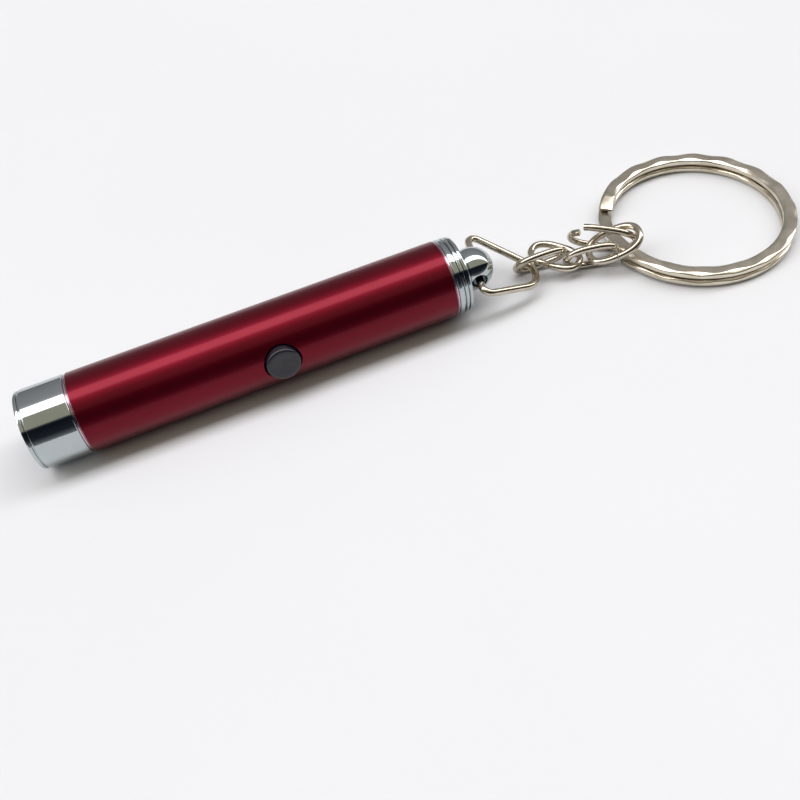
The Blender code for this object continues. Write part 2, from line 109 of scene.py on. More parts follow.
# Each link: node, body, length and width of its centre line, centre, then heading, climb and
# lean of its long axis in degrees.
CHAIN_LINKS = (
    ("chain_link_1", "link_1", 9.2, 5.2, (22.1, 2.0, 3.1), -10, 9, 118),
    ("chain_link_2", "link_2", 9.2, 5.2, (25.2, 2.0, 2.7), -50, -3, 2),
    ("chain_link_3", "link_3", 9.2, 5.2, (30.7, -1.7, 3.2), -17, 5, 105),
    ("chain_link_4", "link_4", 9.6, 6.0, (34.9, -2.3, 4.8), -19, 23, 12),
)
JUMP_RING = ("jump_ring", "connector", 12.0, 6.6, (34.5, 0.8, 3.9), -29.5, -9, -65)
JUMP_RING_TURNS = (232.0, 582.0)
SEAM_TURNS = (270.0, 630.0)       # a closed link is butted on its lower side

# ---- Key ring sizes ----
RING_CENTRE = Vector((53.85, 0.0, 1.75))
RING_TILT = math.radians(0.76)
RING_OUTER_RADIUS = 18.05
RING_BAND = 2.6                   # width of the strip
RING_COIL = 1.35                  # height of the strip
RING_JOG_CENTRE = math.radians(168.0)
RING_JOG_HALF = math.radians(20.0)
RING_END_HALF = math.radians(22.0)
RING_TAPER = math.radians(11.0)   # how much of each end is ground to a wedge
RING_TIP = 0.35                   # share of the strip's height left at its tip
HAMMER_MARKS = 17                 # hammered hollows in one turn of the ring
HAMMER_BITE = 0.48                # how far a hollow eats into the strip's width
HAMMER_DROP = 0.14                # and into its height
HAMMER_WAVE = 0.07                # rise and fall of the top face
INNER_LEAD, TOP_LEAD = 2.2, 0.9   # how far the inner edge and top face run ahead, in radians

# ---- Mesh detail ----
ROUND_SIDES = 160
SMALL_SIDES = 96
LAMP_SIDES = 48
WIRE_SIDES = 24
TRIANGLE_SIDES = 28
SHARP_ANGLE = math.radians(30.0)
WELD = 0.0005                     # points closer than this become one

# ---- Surface detail ----
EVEN = (1.0, 1.0, 1.0)
LATHE_LINES = (3.0, 0.05, 0.05)   # close together along the barrel, drawn out round it
NOISE_LOW, NOISE_HIGH = 0.3, 0.7  # the range that noise mostly keeps to
NOISE_ROUGHNESS = 0.55
METAL_GRAIN = 900.0
MOULD_MOTTLE, MOULD_GRAIN = 260.0, 3000.0

# ---- Studio ----
# Brightness and colour of the room, by degrees from straight up towards -Y, the camera's side.
STUDIO_BANDS = (
    (-90, 0.26, (0.97, 0.97, 1.00)),
    (-60, 0.34, (0.98, 0.98, 1.00)),
    (-30, 0.42, (1.00, 0.98, 0.98)),
    (-20, 0.60, (1.00, 0.98, 0.99)),
    (-17, 4.60, (1.00, 0.98, 0.99)),
    (4, 4.60, (1.00, 0.98, 0.99)),
    (7, 0.48, (1.00, 0.94, 0.74)),
    (40, 0.46, (1.00, 0.94, 0.74)),
    (44, 0.06, (0.70, 0.80, 1.00)),
    (48, 0.015, (0.50, 0.70, 1.00)),
    (74, 0.035, (0.60, 0.70, 1.00)),
    (85, 0.15, (0.92, 0.96, 1.00)),
    (90, 0.35, (0.95, 0.97, 1.00)),
)
STUDIO_STRENGTH = 5.0
BACKDROP = (0.90, 0.92, 0.95, 1.0)
TABLE_HALF = 3000.0
CAMERA_PLACE = Vector((-35.71, -110.83, 116.94))
CAMERA_AIM = Vector((-12.97, -14.64, 0.0))
CAMERA_ROLL = math.radians(-10.87)
CAMERA_LENS = 40.5
CAMERA_CLIP = 5.0


# ---- Node helpers ----
def new_material(name):
    """An empty node material: its tree, its Principled shader and the material itself."""
    material = bpy.data.materials.new(name)
    material.use_nodes = True
    return material.node_tree, material.node_tree.nodes["Principled BSDF"], material


def add_node(tree, kind, **settings):
    """A node with its properties set by name."""
    node = tree.nodes.new(kind)
    for key, value in settings.items():
        setattr(node, key, value)
    return node


def grain(tree, stretch, scale, detail=3.0):
    """Noise over the object's own space, squeezed along each axis by stretch."""
    coords = add_node(tree, "ShaderNodeTexCoord")
    mapping = add_node(tree, "ShaderNodeMapping")
    mapping.inputs["Scale"].default_value = stretch
    tree.links.new(coords.outputs["Object"], mapping.inputs["Vector"])
    noise = add_node(tree, "ShaderNodeTexNoise")
    noise.inputs["Scale"].default_value = scale
    noise.inputs["Detail"].default_value = detail
    noise.inputs["Roughness"].default_value = NOISE_ROUGHNESS
    tree.links.new(mapping.outputs["Vector"], noise.inputs["Vector"])
    return noise.outputs["Fac"]


def spread(tree, noise, low, high):
    """Map noise onto a range of numbers."""
    remap = add_node(tree, "ShaderNodeMapRange")
    remap.inputs["From Min"].default_value = NOISE_LOW
    remap.inputs["From Max"].default_value = NOISE_HIGH
    remap.inputs["To Min"].default_value = low
    remap.inputs["To Max"].default_value = high
    tree.links.new(noise, remap.inputs["Value"])
    return remap.outputs["Result"]


def blend_colours(tree, noise, first, second):
    """A colour that goes from first to second as noise rises."""
    ramp = add_node(tree, "ShaderNodeValToRGB")
    stops = ((NOISE_LOW, first), (NOISE_HIGH, second))
    for element, (position, colour) in zip(ramp.color_ramp.elements, stops):
        element.position = position
        element.color = (*colour, 1.0)
    tree.links.new(noise, ramp.inputs["Fac"])
    return ramp.outputs["Color"]


def bump(tree, shader, height, depth):
    """Fine relief, depth in millimetres."""
    node = add_node(tree, "ShaderNodeBump")
    node.inputs["Distance"].default_value = depth * MM
    tree.links.new(height, node.inputs["Height"])
    tree.links.new(node.outputs["Normal"], shader.inputs["Normal"])


def metal(name, dark, light, roughness, patch, lines, relief):
    """A metal with slow colour changes, uneven gloss and a fine relief.

    roughness is its lowest and highest value, patch the scale of the slow changes, lines the
    stretch of the fine ones, and relief their depth in millimetres.
    """
    tree, shader, material = new_material(name)
    shader.inputs["Metallic"].default_value = 1.0
    slow = grain(tree, EVEN, patch)
    fine = grain(tree, lines, METAL_GRAIN, detail=4.0)
    tree.links.new(blend_colours(tree, slow, dark, light), shader.inputs["Base Color"])
    tree.links.new(spread(tree, fine, *roughness), shader.inputs["Roughness"])
    bump(tree, shader, fine, relief)
    return material


def plastic(name, dark, light, roughness, relief):
    """A moulded plastic with a faint mottle and a fine moulded texture."""
    tree, shader, material = new_material(name)
    slow = grain(tree, EVEN, MOULD_MOTTLE)
    fine = grain(tree, EVEN, MOULD_GRAIN)
    tree.links.new(blend_colours(tree, slow, dark, light), shader.inputs["Base Color"])
    tree.links.new(spread(tree, slow, *roughness), shader.inputs["Roughness"])
    bump(tree, shader, fine, relief)
    return material


# ---- Materials ----
def red_anodised():
    """Dyed, sealed aluminium with faint lathe lines round the tube under a clear skin."""
    dark, light = (0.132, 0.0010, 0.0095), (0.150, 0.0014, 0.0120)
    material = metal("red_anodised", dark, light, (0.33, 0.37), 60.0, LATHE_LINES, 0.00012)
    shader = material.node_tree.nodes["Principled BSDF"]
    shader.inputs["Metallic"].default_value = 0.88
    shader.inputs["Coat Weight"].default_value = 0.15
    shader.inputs["Coat Roughness"].default_value = 0.05
    return material


def chrome():
    """Bright chrome plate over turned metal."""
    dark, light = (0.44, 0.48, 0.49), (0.49, 0.53, 0.54)
    return metal("chrome", dark, light, (0.035, 0.07), 140.0, (1.0, 0.12, 0.12), 0.0004)


def nickel():
    """Nickel plate on drawn wire, slightly yellow."""
    dark, light = (0.44, 0.39, 0.31), (0.62, 0.56, 0.46)
    return metal("nickel", dark, light, (0.08, 0.16), 320.0, (0.6, 0.6, 0.6), 0.0012)


def hammered_nickel_painted_light():
    """The same plate on the key ring's hammered strip, softer, and painted lighter than the wires' nickel to
    stand in for the light its flat top faces catch.
    """
    dark, light = (0.56, 0.50, 0.40), (0.74, 0.68, 0.57)
    return metal("hammered_nickel_painted_light", dark, light, (0.17, 0.28), 240.0, (0.6, 0.6, 0.6), 0.002)


def bare_aluminium():
    """The cut edge of the tube, where the dye has thinned."""
    dark, light = (0.50, 0.34, 0.40), (0.66, 0.50, 0.56)
    return metal("bare_aluminium", dark, light, (0.16, 0.26), 300.0, LATHE_LINES, 0.001)


def steel():
    """Plated spring and cell steel."""
    dark, light = (0.46, 0.46, 0.45), (0.60, 0.60, 0.59)
    return metal("steel", dark, light, (0.18, 0.30), 250.0, (0.8, 0.8, 0.8), 0.001)


def brass():
    """Stamped brass contact."""
    dark, light = (0.55, 0.38, 0.14), (0.78, 0.58, 0.26)
    return metal("brass", dark, light, (0.20, 0.34), 250.0, (0.8, 0.8, 0.8), 0.001)


def reflector_metal():
    """Vacuum-plated plastic cup."""
    dark, light = (0.74, 0.75, 0.76), (0.84, 0.85, 0.86)
    return metal("reflector_metal", dark, light, (0.05, 0.12), 200.0, (0.5, 0.5, 0.5), 0.002)


def clear_plastic(name, tint, relief):
    """Clear moulded plastic with a slight wave in its surface."""
    tree, shader, material = new_material(name)
    shader.inputs["Transmission Weight"].default_value = 1.0
    shader.inputs["IOR"].default_value = 1.49
    wave = grain(tree, EVEN, 180.0, detail=2.0)
    tree.links.new(blend_colours(tree, wave, tint, EVEN), shader.inputs["Base Color"])
    tree.links.new(spread(tree, wave, 0.02, 0.05), shader.inputs["Roughness"])
    bump(tree, shader, wave, relief)
    return material


def phosphor_chip():
    """The lamp's yellow phosphor chip, unlit."""
    tree, shader, material = new_material("phosphor")
    speck = grain(tree, EVEN, 4000.0)
    colour = blend_colours(tree, speck, (0.62, 0.42, 0.03), (0.86, 0.66, 0.10))
    tree.links.new(colour, shader.inputs["Base Color"])
    shader.inputs["Roughness"].default_value = 0.5
    return material


def table_top():
    """Plain pale table with a very faint mottle."""
    tree, shader, material = new_material("table_top")
    slow = grain(tree, EVEN, 6.0)
    colour = blend_colours(tree, slow, (0.735, 0.748, 0.772), (0.755, 0.768, 0.792))
    tree.links.new(colour, shader.inputs["Base Color"])
    shader.inputs["Roughness"].default_value = 0.9
    shader.inputs["Specular IOR Level"].default_value = 0.03
    return material


def button_plastic():
    """Glossy near-black plastic of the push button."""
    dark, light = (0.008, 0.008, 0.014), (0.014, 0.014, 0.022)
    return plastic("button_black", dark, light, (0.16, 0.26), 0.001)


def black_plastic():
    """Matt black plastic of the inside mouldings."""
    dark, light = (0.012, 0.012, 0.014), (0.022, 0.022, 0.024)
    return plastic("black_plastic", dark, light, (0.4, 0.55), 0.004)


def white_plastic():
    """Off-white plastic of the lamp's holder and the switch plunger."""
    dark, light = (0.62, 0.61, 0.57), (0.74, 0.73, 0.70)
    return plastic("white_plastic", dark, light, (0.35, 0.5), 0.003)


def board_lacquer():
    """Green lacquer of the circuit board."""
    dark, light = (0.010, 0.10, 0.035), (0.020, 0.17, 0.060)
    return plastic("board", dark, light, (0.25, 0.4), 0.004)


def make_materials():
    """Every finish, by name."""
    return {
        "red_anodised": red_anodised(),
        "chrome": chrome(),
        "nickel": nickel(),
        "hammered_nickel_painted_light": hammered_nickel_painted_light(),
        "bare_aluminium": bare_aluminium(),
        "steel": steel(),
        "brass": brass(),
        "reflector": reflector_metal(),
        "lens": clear_plastic("lens", (0.93, 0.96, 0.98), 0.002),
        "epoxy": clear_plastic("epoxy", (0.90, 0.93, 0.95), 0.001),
        "phosphor": phosphor_chip(),
        "button_black": button_plastic(),
        "black_plastic": black_plastic(),
        "white_plastic": white_plastic(),
        "board": board_lacquer(),
        "table": table_top(),
    }


# ---- Mesh helpers ----
def softened(points, radius, steps=4, closed=False):
    """Round every corner of a profile with a short curve."""
    points = [Vector(point) for point in points]
    count = len(points)
    longest_share = 0.45
    result = []
    for index, corner in enumerate(points):
        if not closed and index in (0, count - 1):
            result.append(corner)
            continue
        before = points[index - 1] - corner
        after = points[(index + 1) % count] - corner
        reach = min(radius, before.length * longest_share, after.length * longest_share)
        first = corner + before.normalized() * reach
        last = corner + after.normalized() * reach
        for step in range(steps + 1):
            share = step / steps
            blend = first * (1 - share) ** 2 + corner * (2 * share * (1 - share)) + last * share ** 2
            result.append(blend)
    return result


def shade(mesh):
    """Smooth shading that keeps the sharper edges crisp."""
    mesh.shade_smooth()
    mesh.set_sharp_from_angle(angle=SHARP_ANGLE)


def mesh_from(bm, name):
    """Weld, orient and shade a bmesh, and return it as a mesh."""
    bmesh.ops.remove_doubles(bm, verts=bm.verts, dist=WELD * MM)
    bmesh.ops.recalc_face_normals(bm, faces=bm.faces)
    mesh = bpy.data.meshes.new(name)
    bm.to_mesh(mesh)
    bm.free()
    shade(mesh)
    return mesh


def turned(name, profile, sides=ROUND_SIDES, closed=False):
    """Turn (x, radius) points about X."""
    bm = bmesh.new()
    verts = [bm.verts.new((x * MM, 0.0, -radius * MM)) for x, radius in profile]
    edges = [bm.edges.new(pair) for pair in zip(verts, verts[1:])]
    if closed:
        edges.append(bm.edges.new((verts[-1], verts[0])))
    bmesh.ops.spin(
        bm,
        geom=verts + edges,
        cent=(0.0, 0.0, 0.0),
        axis=(1.0, 0.0, 0.0),
        angle=math.tau,
        steps=sides,
        use_merge=True,
    )
    return mesh_from(bm, name)


def swept(name, sections):
    """Join a row of closed sections, each a list of points, into a bar with capped ends."""
    bm = bmesh.new()
    loops = [[bm.verts.new(point * MM) for point in section] for section in sections]
    count = len(loops[0])
    for one, two in zip(loops, loops[1:]):
        for index in range(count):
            after = (index + 1) % count
            bm.faces.new((one[index], one[after], two[after], two[index]))
    for loop in (loops[0], loops[-1]):
        bm.faces.new(loop)
    return mesh_from(bm, name)


def wire(name, points, diameter, sides, lip):
    """A round wire along an open path; lip is how far its cut ends are rounded."""
    points = [Vector(point) for point in points]
    tangents = []
    for index in range(len(points)):
        before = points[max(index - 1, 0)]
        after = points[min(index + 1, len(points) - 1)]
        tangents.append((after - before).normalized())
    end_share = 1.0 - 2 * lip / diameter
    set_back = 0.6
    stations = [
        (points[0], tangents[0], end_share),
        (points[0] + tangents[0] * lip * set_back, tangents[0], 1.0),
    ]
    stations += [(point, tangent, 1.0) for point, tangent in zip(points[1:-1], tangents[1:-1])]
    stations += [
        (points[-1] - tangents[-1] * lip * set_back, tangents[-1], 1.0),
        (points[-1], tangents[-1], end_share),
    ]
    turns = [math.tau * step / sides for step in range(sides)]
    side = tangents[0].orthogonal().normalized()
    sections = []
    for point, tangent, share in stations:
        side = (side - tangent * side.dot(tangent)).normalized()
        up = tangent.cross(side)
        radius = diameter / 2 * share
        sections.append([point + (side * math.cos(t) + up * math.sin(t)) * radius for t in turns])
    return swept(name, sections)


def carve(piece, tool_mesh, place, rotation):
    """Cut a hole in a piece and keep the result as its own mesh."""
    tool = bpy.data.objects.new("tool", tool_mesh)
    bpy.context.scene.collection.objects.link(tool)
    tool.location = piece.location + Vector(place) * MM
    tool.rotation_euler = rotation
    modifier = piece.modifiers.new("carve", "BOOLEAN")
    modifier.object = tool
    modifier.solver = "EXACT"
    bpy.context.view_layer.update()
    depsgraph = bpy.context.evaluated_depsgraph_get()
    cut = bpy.data.meshes.new_from_object(piece.evaluated_get(depsgraph))
    piece.modifiers.clear()
    piece.data = cut
    bpy.data.objects.remove(tool, do_unlink=True)
    shade(cut)


def add_piece(name, mesh, material, place, rotation=(0.0, 0.0, 0.0)):
    """Put a piece in the scene at its place."""
    piece = bpy.data.objects.new(name, mesh)
    mesh.materials.append(material)
    bpy.context.scene.collection.objects.link(piece)
    piece.location = Vector(place) * MM
    piece.rotation_euler = rotation
    return piece


def settle(piece, body, node=None):
    """Put a finished piece's place into its mesh, and tie it to its body and node."""
    piece.data.transform(piece.matrix_basis)
    piece.matrix_basis = Matrix.Identity(4)
    bpy.context.view_layer.update()
    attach(piece, body)
    if node:
        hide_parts(node)


def axis_origin():
    """Middle of the head's front face, in millimetres, read from the model."""
    low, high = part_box("head_bezel")
    return Vector((low[0], (low[1] + high[1]) / 2, (low[2] + high[2]) / 2)) / MM


# ---- Barrel ----
def tube_profile():
    """Half section of the red tube, chamfered at both ends."""
    outer, bore = BARREL_RADIUS, BARREL_BORE_RADIUS
    flat, lean = 0.2, 0.02
    return [
        (TUBE_START, bore),
        (TUBE_START, outer - EDGE_CHAMFER - flat),
        (TUBE_START + lean, outer - EDGE_CHAMFER),
        (TUBE_START + EDGE_CHAMFER, outer),
        (TUBE_END - EDGE_CHAMFER, outer),
        (TUBE_END - lean, outer - EDGE_CHAMFER),
        (TUBE_END, outer - EDGE_CHAMFER - flat),
        (TUBE_END, bore),
    ]


def cut_edge(name, edge, outward):
    """Bright chamfer at one end of the tube; it closes most of the running gap beside it."""
    depth, proud, sunk, short = 0.7, 0.015, 0.03, 0.04
    reach = GAP - short
    profile = [
        (edge + outward * reach, BARREL_RADIUS - depth),
        (edge + outward * reach, BARREL_RADIUS - EDGE_CHAMFER - short),
        (edge + outward * proud, BARREL_RADIUS - EDGE_CHAMFER + proud),
        (edge - outward * EDGE_CHAMFER, BARREL_RADIUS + proud),
        (edge - outward * (EDGE_CHAMFER + sunk), BARREL_RADIUS - sunk),
        (edge + outward * proud, BARREL_RADIUS - depth),
    ]
    return turned(name, profile, closed=True)


def build_tube(origin, materials):
    """The red tube, with the button's hole and a bright cut edge at each end."""
    mesh = turned("red_tube", softened(tube_profile(), 0.05, closed=True), closed=True)
    tube = add_piece("red_tube", mesh, materials["red_anodised"], origin)
    hole_start, hole_length, hole_radius = 3.0, 6.0, BUTTON_RADIUS + GAP
    hole = [(0.0, 0.0), (0.0, hole_radius), (hole_length, hole_radius), (hole_length, 0.0)]
    carve(tube, turned("hole", hole, SMALL_SIDES), button_place(hole_start), button_rotation())
    settle(tube, "barrel", "body_tube")
    for name, edge, outward in (("front_cut_edge", TUBE_START, -1.0), ("rear_cut_edge", TUBE_END, 1.0)):
        trim = add_piece(name, cut_edge(name, edge, outward), materials["bare_aluminium"], origin)
        settle(trim, "barrel")


def button_place(height):
    """A point on the button's axis, height above the barrel's axis, in the barrel's frame."""
    lift = Vector((0.0, -math.sin(BUTTON_ANGLE), math.cos(BUTTON_ANGLE))) * height
    return Vector((BUTTON_X, 0.0, 0.0)) + lift


def button_rotation():
    """Turns a shape made along X to point out along the button's axis."""
    return (Matrix.Rotation(BUTTON_ANGLE, 3, "X") @ Matrix.Rotation(-math.pi / 2, 3, "Y")).to_euler()


def build_button(origin, materials):
    """The push button, with a foot inside the tube and a shallow finger dish in a rounded rim."""
    top, radius = BUTTON_TOP - BUTTON_BASE, BUTTON_RADIUS
    foot_height, foot_radius = 0.55, BUTTON_RADIUS + 0.6
    foot = [(0.0, 0.0), (0.0, foot_radius), (foot_height, foot_radius), (foot_height, radius)]
    rim = [(top - 0.35, radius), (top - 0.08, radius - 0.25), (top, radius - 0.7)]
    dish = [(top - 0.05, radius - 1.1), (top - 0.18, radius - 1.9), (top - 0.22, 0.0)]
    mesh = turned("button_cap", softened(foot + rim + dish, 0.22, steps=6), SMALL_SIDES)
    place = origin + button_place(BUTTON_BASE)
    button = add_piece("button_cap", mesh, materials["button_black"], place, button_rotation())
    settle(button, "button", "push_button")


def build_head(origin, materials):
    """The chromed head with its rolled lip, groove, window seat and plug."""
    outer = BARREL_RADIUS
    rim, groove = outer - 0.12, outer - 0.36
    shoulder = HEAD_LENGTH - GAP / 2
    lens_seat, lens_bore = LENS_START - GAP, LENS_RADIUS + GAP
    lip = [(0.0, WINDOW_RADIUS + 0.4), (0.0, rim - 0.3), (0.08, rim - 0.08), (0.3, rim), (0.62, rim)]
    turned_groove = [(0.7, groove), (0.86, groove), (0.94, outer - 0.06), (1.06, outer)]
    skirt = [(shoulder - 0.12, outer), (shoulder, outer - 0.12), (shoulder, PLUG_RADIUS)]
    plug = [(HEAD_PLUG_END, PLUG_RADIUS), (HEAD_PLUG_END, lens_bore), (lens_seat, lens_bore)]
    window = [(lens_seat, WINDOW_RADIUS), (0.4, WINDOW_RADIUS)]
    profile = softened(lip + turned_groove + skirt + plug + window, 0.06, closed=True)
    head = add_piece("chrome_head", turned("chrome_head", profile, closed=True), materials["chrome"], origin)
    settle(head, "barrel", "head_bezel")


# ---- Lamp ----
def quarter_turn(steps):
    """Angles from nought to a right angle."""
    return [math.pi / 2 * step / steps for step in range(steps + 1)]


def build_lens(origin, materials):
    """The front lens, domed inside its rim."""
    bulge, dome_share = 0.35, 0.85
    dome = [
        (LENS_START - bulge * math.cos(turn), LENS_RADIUS * math.sin(turn) * dome_share)
        for turn in quarter_turn(16)
    ]
    profile = dome + [(LENS_START, LENS_RADIUS), (LENS_END, LENS_RADIUS), (LENS_END, 0.0)]
    lens = add_piece("front_lens", turned("front_lens", profile, SMALL_SIDES), materials["lens"], origin)
    settle(lens, "barrel", "lens")


def build_reflector(origin, materials):
    """The reflector cup behind the lens, with soft steps down its bowl."""
    start, end = LENS_END + GAP, LED_FLANGE_START - GAP
    throat, mouth = LED_RADIUS + GAP, LENS_RADIUS - 0.4
    ripple_depth, ripples = 0.035, 9
    samples = 36
    bowl = []
    for sample in range(samples + 1):
        share = sample / samples
        radius = throat + (mouth - throat) * math.sqrt(share)
        ripple = ripple_depth * math.sin(share * math.tau * ripples)
        bowl.append((end - (end - start) * share, radius + ripple))
    profile = [(start, LENS_RADIUS), (end, LENS_RADIUS)] + bowl
    mesh = turned("reflector_cup", profile, SMALL_SIDES, closed=True)
    cup = add_piece("reflector_cup", mesh, materials["reflector"], origin)
    settle(cup, "barrel", "reflector")


def build_lamp(origin, materials):
    """The lamp's clear body, and the chip and post inside it."""
    flange = LED_RADIUS + 0.4
    dome = [
        (LED_TOP + LED_RADIUS * (1 - math.cos(turn)), LED_RADIUS * math.sin(turn))
        for turn in quarter_turn(20)
    ]
    base = [
        (LED_FLANGE_START, LED_RADIUS),
        (LED_FLANGE_START, flange),
        (LED_FLANGE_END, flange),
        (LED_FLANGE_END, 0.0),
    ]
    body = add_piece("lamp_body", turned("lamp_body", dome + base, SMALL_SIDES), materials["epoxy"], origin)
    settle(body, "barrel", "led")

    front, back = 0.55, 0.6
    profile = [(CHIP_START, 0.0), (CHIP_START, front), (CHIP_END, back), (CHIP_END, 0.0)]
    chip = add_piece("lamp_chip", turned("lamp_chip", profile, LAMP_SIDES), materials["phosphor"], origin)
    settle(chip, "barrel")

    table, widest, foot = 0.95, 1.0, 0.5
    profile = [
        (POST_START, 0.0),
        (POST_START, table),
        (POST_START + 0.25, widest),
        (POST_END, foot),
        (POST_END, 0.0),
    ]
    post = add_piece("lamp_post", turned("lamp_post", profile, LAMP_SIDES), materials["steel"], origin)
    settle(post, "barrel")


# ---- Tail cap ----
def cap_ridges():
    """The screw ridges on the cap's plug, as plain rings."""
    ridges = []
    for number in range(THREAD_RIDGES):
        foot = CAP_PLUG_START + 0.3 + number * THREAD_PITCH
        ridges += [
            (foot, THREAD_ROOT),
            (foot + 0.3, PLUG_RADIUS),
            (foot + 0.5, PLUG_RADIUS),
            (foot + 0.8, THREAD_ROOT),
        ]
    return ridges


def cap_bands():
    """The turned bands between the tube and the cap's end face."""
    start = CAP_START + 0.05
    crest, edge = 6.97, 6.90
    groove, narrow_groove = 6.50, 6.45
    last_band = 6.86
    return [
        (start, THREAD_ROOT),
        (start, 6.80),
        (start + 0.14, crest),
        (start + 0.78, crest),
        (start + 0.84, groove),
        (start + 1.10, groove),
        (start + 1.16, edge),
        (start + 1.24, crest),
        (start + 1.54, crest),
        (start + 1.62, edge),
        (start + 1.66, narrow_groove),
        (start + 1.90, narrow_groove),
        (start + 1.96, last_band),
        (CAP_FACE - 0.30, last_band),
        (CAP_FACE - 0.06, 6.72),
        (CAP_FACE, 6.50),
    ]


def ball_outline():
    """The ball's half outline, from its collar to its far end."""
    first_turn = math.acos((BALL_X - CAP_FACE - 0.15) / BALL_RADIUS)
    steps = 48
    points = []
    for step in range(steps):
        turn = first_turn + (math.pi - first_turn) * step / steps
        points.append((BALL_X - BALL_RADIUS * math.cos(turn), BALL_RADIUS * math.sin(turn)))
    return points + [(BALL_X + BALL_RADIUS, 0.0)]


def eye_outline():
    """Half section of the hole through the ball, flared at both mouths."""
    flare_start, flare_length, reach = 2.9, 0.9, 5.0
    steps = 8
    half = []
    for step in range(steps + 1):
        share = step / steps
        half.append((flare_start + flare_length * share, EYE_RADIUS + EYE_MOUTH * share ** 2))
    half += [(reach, EYE_RADIUS + EYE_MOUTH), (reach, 0.0)]
    return [(-x, radius) for x, radius in reversed(half)] + half


def build_tail_cap(origin, materials):
    """The chromed screw cap with its ball eyelet."""
    hollow = [(CAP_FLOOR, 0.0), (CAP_FLOOR, CAP_BORE_RADIUS), (CAP_PLUG_START, CAP_BORE_RADIUS)]
    plug = [(CAP_PLUG_START, THREAD_ROOT)] + cap_ridges()
    collar = [(CAP_FACE, 3.55), (CAP_FACE + 0.12, 3.3)]
    profile = softened(hollow + plug + cap_bands() + collar, 0.06) + ball_outline()
    cap = add_piece("chrome_tail_cap", turned("chrome_tail_cap", profile), materials["chrome"], origin)
    eye = turned("eye", eye_outline(), SMALL_SIDES)
    carve(cap, eye, TRIANGLE_PIVOT - origin, (0.0, 0.0, TRIANGLE_TURN))
    settle(cap, "cap", "tail_cap")


# ---- Chain ----
def rounded_corner(before, corner, after, radius, steps=14):
    """Points along an arc that rounds one corner of a bent wire."""
    to_before = (before - corner).normalized()
    to_after = (after - corner).normalized()
    half = to_before.angle(to_after) / 2
    middle = (to_before + to_after).normalized()
    centre = corner + middle * (radius / math.sin(half))
    first = corner + to_before * (radius / math.tan(half)) - centre
    last = corner + to_after * (radius / math.tan(half)) - centre
    sweep = math.pi - 2 * half
    points = []
    for step in range(steps + 1):
        share = step / steps
        weight_first = math.sin((1 - share) * sweep) / math.sin(sweep)
        weight_last = math.sin(share * sweep) / math.sin(sweep)
        points.append(centre + first * weight_first + last * weight_last)
    return points


def build_triangle(materials):
    """The three-cornered wire through the ball's eye, cut in the middle of its base."""
    far = Vector((TRIANGLE_FAR, 0.0, 0.0))
    near = Vector((TRIANGLE_NEAR, 0.0, 0.0))
    out = Vector((0.0, -math.cos(TRIANGLE_DROP), -math.sin(TRIANGLE_DROP)))
    tip = Vector((TRIANGLE_LEAN, 0.0, 0.0)) + out * TRIANGLE_HEIGHT
    half_cut = Vector((GAP / 2, 0.0, 0.0))
    points = [half_cut]
    points += rounded_corner(half_cut, far, tip, BASE_BEND)
    points += rounded_corner(far, tip, near, TIP_BEND, 24)
    points += rounded_corner(tip, near, -half_cut, BASE_BEND)
    points += [-half_cut]
    mesh = wire("triangle_wire", points, TRIANGLE_WIRE, TRIANGLE_SIDES, JUMP_LIP)
    rotation = (0.0, 0.0, TRIANGLE_TURN)
    triangle = add_piece("triangle_wire", mesh, materials["nickel"], TRIANGLE_PIVOT, rotation)
    settle(triangle, "triangle", "triangle_link")


def oval_points(length, width, turns, spring):
    """Centre line of an oval link with full sides; spring parts its two ends."""
    middle = (turns[0] + turns[-1]) / 2
    half = (turns[-1] - turns[0]) / 2
    points = []
    for turn in turns:
        along, across = math.cos(math.radians(turn)), math.sin(math.radians(turn))
        x = math.copysign(abs(along) ** LINK_FULLNESS, along) * length / 2
        y = math.copysign(abs(across) ** LINK_FULLNESS, across) * width / 2
        share = (turn - middle) / half
        points.append((x, y, -math.copysign(share * share, share) * spring / 2))
    return points


def add_link(link, first, last, spring, diameter, lip, material):
    """One link, from the first turn to the last in degrees, laid at its place."""
    node, body, length, width, centre, heading, climb, lean = link
    steps = 120
    turns = [first + (last - first) * step / steps for step in range(steps + 1)]
    path = oval_points(length, width, turns, spring)
    name = node + "_wire"
    rotation = Euler([math.radians(value) for value in (lean, -climb, heading)])
    piece = add_piece(name, wire(name, path, diameter, WIRE_SIDES, lip), material, centre, rotation)
    settle(piece, body, node)


def build_links(materials):
    """The four links, each closed by a butt seam, and the open jump ring."""
    nickel_plate = materials["nickel"]
    first, last = SEAM_TURNS
    for link in CHAIN_LINKS:
        add_link(link, first + LINK_SEAM, last - LINK_SEAM, 0.0, LINK_WIRE, LINK_LIP, nickel_plate)
    add_link(JUMP_RING, *JUMP_RING_TURNS, JUMP_RING_SPREAD, JUMP_WIRE, JUMP_LIP, nickel_plate)


# ---- Key ring ----
def coil_height(turn):
    """Height of the wound strip above the ring's middle plane at one angle."""
    level = (RING_COIL + GAP) / 2
    share = (turn - (RING_JOG_CENTRE + math.tau) + RING_JOG_HALF) / (2 * RING_JOG_HALF)
    share = min(max(share, 0.0), 1.0)
    return level * (2 * share * share * (3 - 2 * share) - 1)


